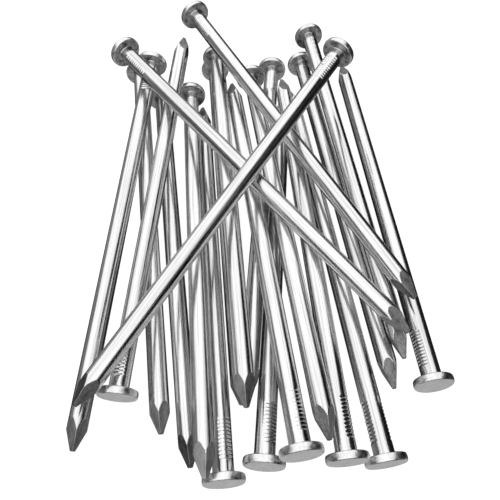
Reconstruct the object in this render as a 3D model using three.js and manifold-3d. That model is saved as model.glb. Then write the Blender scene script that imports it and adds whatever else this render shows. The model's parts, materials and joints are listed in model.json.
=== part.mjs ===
// A loose heap of round wire nails. Every nail is one solid of drawn steel wire: a forged flat head with a
// rounded rim, a round shank with grip marks below the head, and a four-sided diamond point.
// Millimetres, +Z up. The origin is on the floor under the middle of the heap.
import * as THREE from 'three';
import { mergeVertices } from 'three/addons/utils/BufferGeometryUtils.js';
import Module from 'manifold-3d';

const wasm = await Module();
wasm.setup();

// ---- driving dimensions of one nail
const NAIL_LENGTH = 100; // striking face to the end of the point
const SHANK_DIAMETER = 4;
const HEAD_DIAMETER = 8;
const HEAD_THICKNESS = 1.6;
const RIM_CHAMFER = 0.35;
const NECK_FILLET = 0.5; // flare where the shank meets the head
const GRIP_START = 4; // from the striking face to the first grip mark
const GRIP_PITCH = 0.7;
const GRIP_COUNT = 11;
const GRIP_DEPTH = 0.2;
const POINT_LENGTH = 6;
const POINT_END_WIDTH = 0.7; // the point ends in a small square, across its flats

// ---- driving dimensions of the heap
const RESTING_GAP = 0.25; // clearance left between two nails where one rests on the other

const LEANS_LEFT = 98; // the three lines that most nails of the heap lie along, in degrees from +X
const NEARLY_STRAIGHT = 95;
const LEANS_RIGHT = 86;
const FROM_VIEWER = 0; // the point looks away from the viewer, who stands at -Y
const TO_VIEWER = 180;

// ---- mesh fineness
const SHANK_SIDES = 16;
const RIM_SAMPLES = 24;

const SHANK_RADIUS = SHANK_DIAMETER / 2;
const HEAD_RADIUS = HEAD_DIAMETER / 2;
const SQUARE_SIDES = 4;
const CUT_OVERSHOOT = 1; // how far a cutting shape runs past what it cuts

// ---- the heap, lowest nail first
// x, y: the middle of the nail seen from above.
// line: the line that it lies along, in degrees from +X towards +Y.
// end: which way along that line its point looks, in degrees.
// roll: its turn about its own axis, in degrees.
const HEAP = [
  { name: 'back_nail_3', x: -18, y: 0, line: LEANS_LEFT, end: TO_VIEWER, roll: 5 },
  { name: 'back_nail_8', x: 22, y: 15, line: LEANS_LEFT, end: TO_VIEWER, roll: 53 },
  { name: 'back_nail_5', x: -6, y: 12, line: NEARLY_STRAIGHT, end: TO_VIEWER, roll: 85 },
  { name: 'front_nail_7', x: 32, y: 15, line: NEARLY_STRAIGHT, end: FROM_VIEWER, roll: 35 },
  { name: 'front_nail_3', x: 6, y: 0, line: LEANS_RIGHT, end: FROM_VIEWER, roll: 120 },
  { name: 'back_nail_9', x: 24, y: 20, line: LEANS_LEFT, end: TO_VIEWER, roll: 55 },
  { name: 'back_nail_10', x: 3, y: 12, line: LEANS_RIGHT, end: TO_VIEWER, roll: 60 },
  { name: 'front_nail_6', x: 18, y: 0, line: LEANS_LEFT, end: FROM_VIEWER, roll: 10 },
  { name: 'front_nail_4', x: 2, y: 0, line: LEANS_LEFT, end: FROM_VIEWER, roll: 110 },
  { name: 'back_nail_6', x: -5, y: 9, line: NEARLY_STRAIGHT, end: TO_VIEWER, roll: 0 },
  { name: 'front_nail_2', x: -9, y: -3, line: NEARLY_STRAIGHT, end: FROM_VIEWER, roll: 115 },
  { name: 'back_nail_2', x: -24, y: 6, line: LEANS_LEFT, end: TO_VIEWER, roll: 0 },
  { name: 'back_nail_4', x: -12, y: -3, line: NEARLY_STRAIGHT, end: TO_VIEWER, roll: 75 },
  { name: 'back_nail_1', x: -30, y: 3, line: LEANS_RIGHT, end: TO_VIEWER, roll: 73 },
  { name: 'front_nail_5', x: 13, y: 0, line: NEARLY_STRAIGHT, end: FROM_VIEWER, roll: 140 },
  { name: 'back_nail_7', x: 7, y: 3, line: LEANS_LEFT, end: TO_VIEWER, roll: 80 },
  { name: 'front_nail_1', x: -22, y: 12, line: LEANS_RIGHT, end: FROM_VIEWER, roll: 70 },
  { name: 'top_nail_1', x: -1, y: 12, line: 130, end: TO_VIEWER, roll: 140 },
  { name: 'top_nail_2', x: 9, y: 25, line: 120, end: TO_VIEWER, roll: 130 },
  { name: 'top_nail_3', x: -5, y: 1, line: 57, end: TO_VIEWER, roll: 85 },
];

// ---- how a nail is laid on the ones below it
const STEEPEST_SLOPE = 0.35; // rise of the point over the head, per millimetre of length
const SLOPE_STEPS = 24;
const HEIGHT_STEPS = 20;

function toManifold(geometry) {
  const bare = geometry.clone();
  bare.deleteAttribute('normal');
  bare.deleteAttribute('uv');
  const merged = mergeVertices(bare);
  return new wasm.Manifold(new wasm.Mesh({
    numProp: 3,
    vertProperties: new Float32Array(merged.attributes.position.array),
    triVerts: new Uint32Array(merged.index.array),
  }));
}

function toGeometry(solid) {
  const mesh = solid.getMesh();
  const geometry = new THREE.BufferGeometry();
  geometry.setAttribute('position', new THREE.BufferAttribute(mesh.vertProperties, 3));
  geometry.setIndex(new THREE.BufferAttribute(mesh.triVerts, 1));
  geometry.computeVertexNormals();
  return geometry;
}

/** The round blank: head and shank, turned about Y, with the striking face at y = 0. */
function blank() {
  const outline = [
    [0, 0],
    [HEAD_RADIUS - RIM_CHAMFER, 0],
    [HEAD_RADIUS, RIM_CHAMFER],
    [HEAD_RADIUS, HEAD_THICKNESS - RIM_CHAMFER],
    [HEAD_RADIUS - RIM_CHAMFER, HEAD_THICKNESS],
    [SHANK_RADIUS + NECK_FILLET, HEAD_THICKNESS],
    [SHANK_RADIUS, HEAD_THICKNESS + NECK_FILLET],
    [SHANK_RADIUS, NAIL_LENGTH + CUT_OVERSHOOT],
    [0, NAIL_LENGTH + CUT_OVERSHOOT],
  ];
  const points = outline.map(([r, y]) => new THREE.Vector2(r, y));
  return new THREE.LatheGeometry(points, SHANK_SIDES, Math.PI / SHANK_SIDES, 2 * Math.PI);
}

/** The die that presses the grip marks into one side of the shank: a bar with a row of teeth. */
function gripDie(side) {
  const back = side * (SHANK_RADIUS + CUT_OVERSHOOT);
  const valley = side * (SHANK_RADIUS + GRIP_DEPTH);
  const peak = side * (SHANK_RADIUS - GRIP_DEPTH);
  const outline = new THREE.Shape().moveTo(back, GRIP_START).lineTo(valley, GRIP_START);
  for (let i = 0; i < GRIP_COUNT; i++) {
    outline.lineTo(peak, GRIP_START + (i + 0.5) * GRIP_PITCH);
    outline.lineTo(valley, GRIP_START + (i + 1) * GRIP_PITCH);
  }
  outline.lineTo(back, GRIP_START + GRIP_COUNT * GRIP_PITCH);
  const die = new THREE.ExtrudeGeometry(outline, { depth: SHANK_DIAMETER, bevelEnabled: false });
  return die.translate(0, 0, -SHANK_RADIUS);
}

/** A square pyramid round the nail. Its small end cuts the flats of the point, between the grips. */
function pointEnvelope() {
  const flatsPerLength = (SHANK_RADIUS - POINT_END_WIDTH / 2) / POINT_LENGTH;
  const length = NAIL_LENGTH + CUT_OVERSHOOT;
  const toCorner = 1 / Math.cos(Math.PI / SQUARE_SIDES);
  const small = (POINT_END_WIDTH / 2) * toCorner;
  const large = (POINT_END_WIDTH / 2 + flatsPerLength * length) * toCorner;
  const pyramid = new THREE.CylinderGeometry(small, large, length, SQUARE_SIDES);
  return pyramid.translate(0, length / 2 - CUT_OVERSHOOT, 0);
}

/** One nail along X, its middle at the origin, its point towards +X. */
function nailGeometry() {
  const solid = toManifold(blank())
    .intersect(toManifold(pointEnvelope()))
    .subtract(toManifold(gripDie(1)))
    .subtract(toManifold(gripDie(-1)));
  return toGeometry(solid).translate(0, -NAIL_LENGTH / 2, 0).rotateZ(-Math.PI / 2);
}

/** Where a nail lies: its axis, the line its shank fills, and the points of its head that can touch. */
function pose({ x, y, line, end }, height, slope) {
  const heading = THREE.MathUtils.degToRad(line + end);
  const along = new THREE.Vector3(Math.cos(heading), Math.sin(heading), slope).normalize();
  const middle = new THREE.Vector3(x, y, height);
  const at = (distance) => middle.clone().addScaledVector(along, distance);
  const shank = new THREE.Line3(
    at(SHANK_RADIUS - NAIL_LENGTH / 2),
    at(NAIL_LENGTH / 2 - SHANK_RADIUS),
  );
  const headMiddle = at((HEAD_THICKNESS - NAIL_LENGTH) / 2);
  return { along, middle, shank, headMiddle, headPoints: headPoints(headMiddle, along) };
}

/** Points round both edges of a head, and half way in on both faces. */
function headPoints(centre, along) {
  const across = new THREE.Vector3(0, 0, 1).cross(along).normalize();
  const upright = along.clone().cross(across);
  const points = [];
  for (const end of [-HEAD_THICKNESS / 2, HEAD_THICKNESS / 2]) {
    for (const radius of [HEAD_RADIUS, HEAD_RADIUS / 2]) {
      for (let i = 0; i < RIM_SAMPLES; i++) {
        const angle = (2 * Math.PI * i) / RIM_SAMPLES;
        points.push(centre.clone()
          .addScaledVector(along, end)
          .addScaledVector(across, radius * Math.cos(angle))
          .addScaledVector(upright, radius * Math.sin(angle)));
      }
    }
  }
  return points;
}

const nearest = new THREE.Vector3();

function headToShank(a, b) {
  const distances = a.headPoints.map((p) => b.shank.closestPointToPoint(p, true, nearest).distanceTo(p));
  return Math.min(...distances) - SHANK_RADIUS;
}

function headToHead(a, b) {
  const distances = a.headPoints.map((p) => {
    const offset = p.clone().sub(b.headMiddle);
    const axial = offset.dot(b.along);
    const radial = Math.sqrt(Math.max(offset.lengthSq() - axial * axial, 0));
    return Math.hypot(
      Math.max(Math.abs(axial) - HEAD_THICKNESS / 2, 0),
      Math.max(radial - HEAD_RADIUS, 0),
    );
  });
  return Math.min(...distances);
}

/** The space between two nails. */
function clearance(a, b) {
  return Math.min(
    Math.sqrt(a.shank.distanceSqToLine3(b.shank)) - SHANK_DIAMETER,
    headToShank(a, b),
    headToShank(b, a),
    headToHead(a, b),
  );
}

function isFree(nail, below) {
  const lowest = Math.min(
    nail.shank.start.z - SHANK_RADIUS,
    nail.shank.end.z - SHANK_RADIUS,
    ...nail.headPoints.map((p) => p.z),
  );
  return lowest >= 0 && below.every((other) => clearance(nail, other) >= RESTING_GAP);
}

/** The lowest height at which a nail of this slope clears the floor and the nails below it. */
function restingHeight(plan, slope, below) {
  let blocked = 0;
  let free = NAIL_LENGTH;
  for (let i = 0; i < HEIGHT_STEPS; i++) {
    const height = (blocked + free) / 2;
    if (isFree(pose(plan, height, slope), below)) free = height;
    else blocked = height;
  }
  return free;
}

/** Lets a nail down on the ones below it: of all slopes, the one that brings its middle lowest. */
function settle(plan, below) {
  let low = -STEEPEST_SLOPE;
  let high = STEEPEST_SLOPE;
  for (let i = 0; i < SLOPE_STEPS; i++) {
    const third = (high - low) / 3;
    if (restingHeight(plan, low + third, below) < restingHeight(plan, high - third, below)) high -= third;
    else low += third;
  }
  const slope = (low + high) / 2;
  return pose(plan, restingHeight(plan, slope, below), slope);
}

function steel(name) {
  return new THREE.MeshStandardMaterial({ name, color: 0xc9ccd0, roughness: 0.28, metalness: 1 });
}

function nailMesh(plan, geometry, { middle, along }) {
  const mesh = new THREE.Mesh(geometry, steel(`${plan.name}_steel`));
  mesh.name = plan.name;
  const across = new THREE.Vector3(0, 0, 1).cross(along).normalize();
  const upright = along.clone().cross(across);
  mesh.quaternion.setFromRotationMatrix(new THREE.Matrix4().makeBasis(along, across, upright));
  mesh.rotateX(THREE.MathUtils.degToRad(plan.roll));
  mesh.position.copy(middle);
  return mesh;
}

function buildHeap() {
  const heap = new THREE.Group();
  const geometry = nailGeometry();
  const laid = [];
  for (const plan of HEAP) {
    const place = settle(plan, laid);
    laid.push(place);
    heap.add(nailMesh(plan, geometry, place));
  }
  return heap;
}

/** Moves the heap so that the origin is on the floor under the middle of its box. */
function centre(heap) {
  const box = new THREE.Box3().setFromObject(heap, true);
  const middle = box.getCenter(new THREE.Vector3());
  heap.position.set(-middle.x, -middle.y, -box.min.z);
  return heap;
}

export default centre(buildHeap());
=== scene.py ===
"""Bright drawn-wire nails in a loose heap: detailed nails, their steel, a pale floor and a soft studio."""
import json
import math
import random

import bpy
import numpy as np
from mathutils import Matrix, Vector


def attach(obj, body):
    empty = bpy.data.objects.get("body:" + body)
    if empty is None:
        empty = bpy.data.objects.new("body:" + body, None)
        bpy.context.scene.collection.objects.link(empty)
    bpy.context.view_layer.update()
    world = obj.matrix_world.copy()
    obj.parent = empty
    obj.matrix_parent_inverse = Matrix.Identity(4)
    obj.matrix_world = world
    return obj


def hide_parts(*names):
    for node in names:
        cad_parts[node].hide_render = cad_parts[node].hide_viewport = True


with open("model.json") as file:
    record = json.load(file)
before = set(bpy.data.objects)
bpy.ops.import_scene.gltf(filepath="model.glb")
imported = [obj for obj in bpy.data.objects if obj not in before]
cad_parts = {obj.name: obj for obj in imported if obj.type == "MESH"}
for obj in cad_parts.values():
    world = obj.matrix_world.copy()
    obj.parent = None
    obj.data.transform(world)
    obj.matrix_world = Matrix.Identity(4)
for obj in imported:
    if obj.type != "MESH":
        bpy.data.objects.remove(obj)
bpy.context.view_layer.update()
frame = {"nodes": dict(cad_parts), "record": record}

MM = 0.001

# ---- camera: the photograph's angle, millimetres and degrees
LOOK_AT = Vector((-2.25, -8.45, 0.0)) * MM
CAMERA_DISTANCE = 127.7 * MM
CAMERA_ELEVATION = math.radians(56.73)
LENS_MM = 38.5
SENSOR_MM = 36.0

# ---- how finely a nail is meshed
AROUND = 72  # a multiple of 8, so that the point's edges fall on vertices
ROUNDING_STEPS = 6  # round the rim and the neck
RINGS_PER_GRIP = 8
POINT_RINGS = 64

# ---- shape of the forged head, millimetres
RIM_ROUNDING = 0.42
UNDERSIDE_ROUNDING = 0.3
FACE_CROWN = 0.05
RIM_BULGE = 0.06
NECK_FLARE = 0.35

# ---- grip marks, millimetres from the striking face
GRIP_START = 4.0
GRIP_PITCH = 0.7
GRIP_COUNT = 11
GRIP_DEPTH = 0.2
GRIP_HALF_ANGLE = math.radians(50)

DIE_LINE_DEPTH = 0.012  # of the ridges that the drawing die leaves along the wire
POINT_LENGTH = 6.0  # of the four flats
POINT_ZONE = 9.0  # length at the end of a nail that gets fine rings
GRAIN_SHIFTS = 500  # each nail takes its grain from its own place along this length

# ---- material slots of a nail
# the last slot, under the head and round the neck, is forging scale darkened further with painted shade
DRAWN, FORGED, SHEARED, SCALE_AND_SHADE = range(4)

# ---- the studio: brightness of the ceiling and of what is round the heap
CEILING = 1.3
CEILING_EDGE = (0.77, 0.86)  # height where the walls turn into the ceiling, straight to the left and right
CEILING_TILT = (-0.17, 0.6)  # the ceiling comes down further on the left, and at the front and back
LEFT_WALL = 0.22
RIGHT_WALL = 0.01
FRONT_SHARE = 0.2  # of the brightness of a side wall that the front wall has
TABLE_FRONT = 0.5
TABLE_BACK = 0.012

# ---- the floor and the backdrop
FLOOR_REACH = 3.0  # metres from the heap to the edge of the floor
FLOOR_GREY = 0.2
FLOOR_GLOW = 0.96
BACKDROP_GLOW = 0.97
BACKDROP_SIDES = 64


def smooth(edge0, edge1, value):
    t = np.clip((value - edge0) / (edge1 - edge0), 0, 1)
    return t * t * (3 - 2 * t)


class Nail:
    """Where a CAD nail lies and how big it is, read from its vertices and its striking-face mount."""

    def __init__(self, name, mount):
        self.name = name
        self.face = Vector(mount["pos_m"])
        self.along = -Vector(mount["axis"]).normalized()
        across = Vector((0, 0, 1)).cross(self.along).normalized()
        upright = self.along.cross(across)
        points = np.array([v.co[:] for v in frame["nodes"][name].data.vertices]) - np.array(self.face)
        axial = points @ np.array(self.along)
        side = points @ np.array(across)
        rise = points @ np.array(upright)
        radial = np.hypot(side, rise)
        self.length = axial.max() / MM
        self.head_radius = radial.max() / MM
        on_shank = (axial > 0.03 * axial.max()) & (axial < 0.9 * axial.max())
        self.shank_radius = radial[on_shank].max() / MM
        in_head = radial > 0.85 * radial.max()
        self.head_thickness = axial[in_head].max() / MM
        tip = axial > axial.max() - 0.02 * MM
        corner = tip & (radial > 0.8 * radial[tip].max())
        self.tip_half_width = radial[corner].mean() / MM * math.cos(math.pi / 4)
        grips = (axial > GRIP_START * MM) & (axial < (GRIP_START + GRIP_COUNT * GRIP_PITCH) * MM)
        doubled = ((side[grips] + 1j * rise[grips]) ** 2).sum()
        self.grip_turn = np.angle(doubled) / 2
        self.basis = Matrix((self.along, across, upright)).transposed().to_4x4()


def quarter(steps):
    """Angles of a rounded corner, from 0 to a right angle."""
    return [math.pi / 2 * k / steps for k in range(steps + 1)]


def head_profile(nail):
    """Rings (axial, radial) from the middle of the striking face to the neck."""
    radius, thick = nail.head_radius, nail.head_thickness
    rings = [(FACE_CROWN * (f ** 4), radius * f) for f in (0.12, 0.3, 0.5, 0.68, 0.82)]
    flat = radius - RIM_ROUNDING
    for a in quarter(ROUNDING_STEPS):
        out = flat + (RIM_ROUNDING - RIM_BULGE) * math.sin(a)
        rings.append((FACE_CROWN + RIM_ROUNDING * (1 - math.cos(a)), out))
    rings.append((thick / 2, radius))
    under = UNDERSIDE_ROUNDING
    for a in quarter(ROUNDING_STEPS - 1):
        rings.append((thick - under * (1 - math.sin(a)), radius - RIM_BULGE - under * (1 - math.cos(a))))
    rings.append((thick + 0.01, (radius + nail.shank_radius + NECK_FLARE) / 2))
    for a in quarter(ROUNDING_STEPS):
        out = nail.shank_radius + NECK_FLARE * (1 - math.sin(a))
        rings.append((thick + NECK_FLARE * (1 - math.cos(a)), out))
    return rings


def shank_stations(nail):
    """Axial places of the rings from the neck to the tip: close together at the grip marks and the point."""
    start = nail.head_thickness + NECK_FLARE
    grip_end = GRIP_START + GRIP_COUNT * GRIP_PITCH
    stations = list(np.linspace(start, GRIP_START, 8)[1:-1])
    stations += list(np.linspace(GRIP_START, grip_end, GRIP_COUNT * RINGS_PER_GRIP, endpoint=False))
    point_start = nail.length - POINT_ZONE
    stations += list(np.linspace(grip_end, point_start, 16, endpoint=False))
    stations += list(np.linspace(point_start, nail.length, POINT_RINGS))
    return stations


def die_lines(nail, angles, rng):
    """The shallow lengthwise ridges that the drawing die leaves, as a radius all round."""
    radius = np.full(len(angles), nail.shank_radius - DIE_LINE_DEPTH)
    for waves in (3, 5, 8, 11, 15, 19):
        size = DIE_LINE_DEPTH * rng.uniform(0.3, 1.0) * 3 / waves
        radius = radius + size * np.cos(waves * angles + rng.uniform(0, 2 * math.pi))
    return radius


def shank_radius_at(nail, x, angles, drawn, depths):
    """Radius all round the shank at one station, with its grip marks and the flats of its point."""
    radius = drawn
    phase = (x - GRIP_START) / GRIP_PITCH
    if 0 <= phase <= GRIP_COUNT:
        depth = depths[min(int(phase), GRIP_COUNT - 1)]
        wave = np.sin(math.pi * (phase % 1)) ** 2
        for side in (0, math.pi):
            off = np.abs((angles - side + math.pi) % (2 * math.pi) - math.pi)
            radius = radius - depth * wave * (1 - smooth(GRIP_HALF_ANGLE * 0.55, GRIP_HALF_ANGLE, off))
    left = nail.length - x
    slope = (nail.shank_radius - nail.tip_half_width) / POINT_LENGTH
    half_width = nail.tip_half_width + slope * left
    from_flat = angles - math.pi / 4
    square = half_width / np.maximum(np.abs(np.cos(from_flat)), np.abs(np.sin(from_flat)))
    return np.minimum(radius, square), square < radius


def nail_rings(nail, rng):
    """Every ring of a nail as (axial, radii all round, which of them lie on a flat of the point)."""
    angles = np.arange(AROUND) * 2 * math.pi / AROUND
    rings = [(x, np.full(AROUND, r), np.zeros(AROUND, bool)) for x, r in head_profile(nail)]
    depths = [GRIP_DEPTH * rng.uniform(0.6, 1.15) for _ in range(GRIP_COUNT)]
    drawn = die_lines(nail, angles, rng)
    for x in shank_stations(nail):
        rings.append((x, *shank_radius_at(nail, x, angles, drawn, depths)))
    return angles, rings


def ring_points(nail, angles, rings):
    """Vertices in the nail's own frame: the middle of the face, the rings, the middle of the tip."""
    points = [(0.0, 0.0, 0.0)]
    for x, radii, _ in rings:
        for a, r in zip(angles, radii):
            points.append((x, r * math.cos(a), r * math.sin(a)))
    points.append((nail.length, 0.0, 0.0))
    return points


def ring_faces(count):
    """Faces that close the given number of rings, with a fan of triangles at each end."""
    faces = [(0, 1 + (j + 1) % AROUND, 1 + j) for j in range(AROUND)]
    for i in range(count - 1):
        a0, b0 = 1 + i * AROUND, 1 + (i + 1) * AROUND
        for j in range(AROUND):
            k = (j + 1) % AROUND
            faces.append((a0 + j, a0 + k, b0 + k, b0 + j))
    end = 1 + (count - 1) * AROUND
    tip = 1 + count * AROUND
    faces += [(end + j, end + (j + 1) % AROUND, tip) for j in range(AROUND)]
    return faces


def slot_of(nail, x, flat_share):
    if x < nail.head_thickness - 0.02:
        return FORGED
    # underside of the head and the neck: forging scale plus painted shade, darker where the head shades the
    # shank
    if x < nail.head_thickness + NECK_FLARE / 2:
        return SCALE_AND_SHADE
    return SHEARED if flat_share > 0.5 else DRAWN


def mark_faces(mesh, nail, local, rings, rng):
    """Gives each face its material slot, and the tone of the flat of the point that it is on."""
    on_flat = [False] + [bool(c) for _, _, cut in rings for c in cut] + [True]
    flat_tones = [rng.random() for _ in range(4)]
    tones = []
    slots = []
    for face in mesh.polygons:
        corners = list(face.vertices)
        middle = sum((Vector(local[v]) for v in corners), Vector()) / len(corners)
        tones.append(flat_tones[int(math.atan2(middle.z, middle.y) // (math.pi / 2)) % 4])
        x = sum(local[v][0] for v in corners) / len(corners)
        slots.append(slot_of(nail, x, sum(on_flat[v] for v in corners) / len(corners)))
    mesh.attributes.new("tone", "FLOAT", "FACE").data.foreach_set("value", tones)
    mesh.polygons.foreach_set("material_index", slots)


def nail_mesh(nail, seed):
    rng = random.Random(seed)
    angles, rings = nail_rings(nail, rng)
    local = ring_points(nail, angles, rings)
    roll = Matrix.Rotation(nail.grip_turn, 4, "X")
    place = Matrix.Translation(nail.face) @ nail.basis @ roll @ Matrix.Scale(MM, 4)
    mesh = bpy.data.meshes.new(nail.name + "_steel")
    mesh.from_pydata([place @ Vector(p) for p in local], [], ring_faces(len(rings)))
    own = mesh.attributes.new("own_mm", "FLOAT_VECTOR", "POINT")
    shift = rng.uniform(0, GRAIN_SHIFTS)
    own.data.foreach_set("vector", [c for p in local for c in (p[0] + shift, p[1], p[2])])
    mark_faces(mesh, nail, local, rings, rng)
    mesh.polygons.foreach_set("use_smooth", [True] * len(mesh.polygons))
    mesh.update()
    return mesh


def lines_along(nodes, links, scale, stretch, detail):
    """Noise drawn out along the wire, so that it makes lines from the head to the point."""
    own = nodes.new("ShaderNodeAttribute")
    own.attribute_name = "own_mm"
    mapping = nodes.new("ShaderNodeMapping")
    mapping.inputs["Scale"].default_value = (1 / stretch, 1.0, 1.0)
    links.new(own.outputs["Vector"], mapping.inputs["Vector"])
    noise = nodes.new("ShaderNodeTexNoise")
    noise.inputs["Scale"].default_value = scale
    noise.inputs["Detail"].default_value = detail
    noise.inputs["Roughness"].default_value = 0.6
    links.new(mapping.outputs["Vector"], noise.inputs["Vector"])
    return noise.outputs["Fac"]


def ranged(nodes, links, value, low, high, from_low, from_high):
    """low where the value is from_low, high where it is from_high."""
    node = nodes.new("ShaderNodeMapRange")
    node.inputs["From Min"].default_value = from_low
    node.inputs["From Max"].default_value = from_high
    node.inputs["To Min"].default_value = low
    node.inputs["To Max"].default_value = high
    links.new(value, node.inputs["Value"])
    return node.outputs["Result"]


def feed(links, socket, value):
    """Sets a socket to a number, or links it to another node's output."""
    if isinstance(value, float):
        socket.default_value = value
    else:
        links.new(value, socket)


def math_node(nodes, links, operation, first, second):
    node = nodes.new("ShaderNodeMath")
    node.operation = operation
    feed(links, node.inputs[0], first)
    feed(links, node.inputs[1], second)
    return node.outputs["Value"]


def blend(nodes, links, share, low, high):
    """low where the share is 0, high where it is 1."""
    node = nodes.new("ShaderNodeMix")
    node.data_type = "FLOAT"
    feed(links, node.inputs["Factor"], share)
    feed(links, node.inputs["A"], low)
    feed(links, node.inputs["B"], high)
    return node.outputs["Result"]


def steel(name, base, roughness, stretch, scales, bump_mm, tone_share=0.0):
    """Bare steel with lines or grain that are stretched along the wire by the given factor.

    base and roughness are pairs, low and high. scales are those of the broad and the fine grain, per
    millimetre. tone_share is how much of the colour comes from the tone of each flat of a point.
    """
    material = bpy.data.materials.new(name)
    material.use_nodes = True
    nodes, links = material.node_tree.nodes, material.node_tree.links
    shader = nodes["Principled BSDF"]
    shader.inputs["Metallic"].default_value = 1.0
    broad = lines_along(nodes, links, scales[0], stretch, 3.0)
    fine = lines_along(nodes, links, scales[1], stretch, 5.0)
    grain = math_node(nodes, links, "ADD", math_node(nodes, links, "MULTIPLY", broad, 0.5),
                      math_node(nodes, links, "MULTIPLY", fine, 0.5))
    shade = ranged(nodes, links, grain, 0.0, 1.0, 0.36, 0.62)
    if tone_share:
        tone = nodes.new("ShaderNodeAttribute")
        tone.attribute_name = "tone"
        shade = blend(nodes, links, tone_share, shade, tone.outputs["Fac"])
    links.new(ranged(nodes, links, shade, *base, 0.0, 1.0), shader.inputs["Base Color"])
    links.new(ranged(nodes, links, shade, *roughness, 0.0, 1.0), shader.inputs["Roughness"])
    bump = nodes.new("ShaderNodeBump")
    bump.inputs["Strength"].default_value = 1.0
    bump.inputs["Distance"].default_value = bump_mm * MM
    links.new(grain, bump.inputs["Height"])
    links.new(bump.outputs["Normal"], shader.inputs["Normal"])
    return material


def nail_materials():
    """The four steels, in the order of the slots: colour, roughness, stretch, grain scales, bump."""
    return [
        steel("drawn_steel", (0.5, 0.95), (0.08, 0.3), 90.0, (1.6, 7.0), 0.03),
        steel("forged_steel", (0.6, 0.9), (0.2, 0.42), 1.5, (0.5, 2.5), 0.05),
        steel("sheared_steel", (0.03, 0.55), (0.3, 0.6), 3.0, (0.8, 5.0), 0.12, 0.55),
        # dark base colour under the head: partly forging scale, partly painted shade of the head over the
        # neck
        steel("scale_and_painted_shade_steel", (0.06, 0.7), (0.25, 0.5), 1.5, (0.7, 2.5), 0.08),
    ]


def build_nails():
    materials = nail_materials()
    mounts = {m["name"]: m for m in frame["record"]["mounts"]}
    for seed, name in enumerate(sorted(frame["nodes"])):
        nail = Nail(name, mounts[name + "_striking_face"])
        piece = bpy.data.objects.new(name + "_nail", nail_mesh(nail, seed))
        bpy.context.scene.collection.objects.link(piece)
        for material in materials:
            piece.data.materials.append(material)
        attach(piece, name)
        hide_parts(name)


def add_camera():
    camera = bpy.data.objects.new("camera", bpy.data.cameras.new("camera"))
    bpy.context.scene.collection.objects.link(camera)
    camera.data.lens = LENS_MM
    camera.data.sensor_width = SENSOR_MM
    camera.data.clip_start = 0.005
    back = Vector((0, -math.cos(CAMERA_ELEVATION), math.sin(CAMERA_ELEVATION)))
    camera.location = LOOK_AT + CAMERA_DISTANCE * back
    camera.rotation_euler = back.to_track_quat("Z", "Y").to_euler()
    bpy.context.scene.camera = camera


def glowing(name, grey, glow, roughness):
    """A surface of the given grey that also glows white."""
    material = bpy.data.materials.new(name)
    material.use_nodes = True
    shader = material.node_tree.nodes["Principled BSDF"]
    shader.inputs["Base Color"].default_value = (grey, grey, grey, 1)
    shader.inputs["Roughness"].default_value = roughness
    shader.inputs["Emission Color"].default_value = (1, 1, 1, 1)
    shader.inputs["Emission Strength"].default_value = glow
    return material


def add_stage(name, points, faces, material):
    mesh = bpy.data.meshes.new(name)
    mesh.from_pydata(points, [], faces)
    piece = bpy.data.objects.new(name, mesh)
    bpy.context.scene.collection.objects.link(piece)
    piece.data.materials.append(material)
    piece.visible_glossy = False  # so that the undersides of the bright nails stay dark
    return piece


def add_floor():
    r = FLOOR_REACH
    corners = [(-r, -r, 0), (r, -r, 0), (r, r, 0), (-r, r, 0)]
    add_stage("floor", corners, [(0, 1, 2, 3)], glowing("floor_white", FLOOR_GREY, FLOOR_GLOW, 0.9))


def add_backdrop():
    """A pale wall round the floor that only the camera sees, so that a low view has no dark horizon."""
    turns = [2 * math.pi * i / BACKDROP_SIDES for i in range(BACKDROP_SIDES)]
    points = [(FLOOR_REACH * math.cos(a), FLOOR_REACH * math.sin(a), z)
              for z in (-FLOOR_REACH, FLOOR_REACH) for a in turns]
    quads = []
    for i in range(BACKDROP_SIDES):
        k = (i + 1) % BACKDROP_SIDES
        quads.append((i, k, BACKDROP_SIDES + k, BACKDROP_SIDES + i))
    wall = add_stage("backdrop", points, quads, glowing("backdrop_white", 0.0, BACKDROP_GLOW, 0.5))
    wall.visible_diffuse = False
    wall.visible_shadow = False


def add_studio():
    """A white ceiling over a dark room: the ceiling lights the nails, the dark walls draw their edges."""
    world = bpy.data.worlds.new("studio")
    bpy.context.scene.world = world
    world.use_nodes = True
    nodes, links = world.node_tree.nodes, world.node_tree.links
    direction = nodes.new("ShaderNodeTexCoord")
    split = nodes.new("ShaderNodeSeparateXYZ")
    links.new(direction.outputs["Generated"], split.inputs["Vector"])
    x, y, z = split.outputs["X"], split.outputs["Y"], split.outputs["Z"]
    sides = ranged(nodes, links, x, LEFT_WALL, RIGHT_WALL, -0.35, 0.35)
    front = ranged(nodes, links, y, FRONT_SHARE, 1.0, -0.25, 0.2)
    walls = math_node(nodes, links, "MULTIPLY", sides, front)
    table = ranged(nodes, links, y, TABLE_FRONT, TABLE_BACK, -0.1, 0.25)
    below = ranged(nodes, links, z, 1.0, 0.0, -0.5, -0.25)
    around = blend(nodes, links, below, walls, table)
    across = math_node(nodes, links, "MULTIPLY", x, CEILING_TILT[0])
    distance = math_node(nodes, links, "ABSOLUTE", y, 0.0)
    along = math_node(nodes, links, "MULTIPLY", distance, CEILING_TILT[1])
    tilted = math_node(nodes, links, "ADD", z, math_node(nodes, links, "ADD", across, along))
    above = ranged(nodes, links, tilted, 0.0, 1.0, *CEILING_EDGE)
    light = blend(nodes, links, above, around, CEILING)
    links.new(light, nodes["Background"].inputs["Color"])


add_camera()
build_nails()
add_floor()
add_backdrop()
add_studio()
bpy.context.scene.view_settings.view_transform = "Standard"
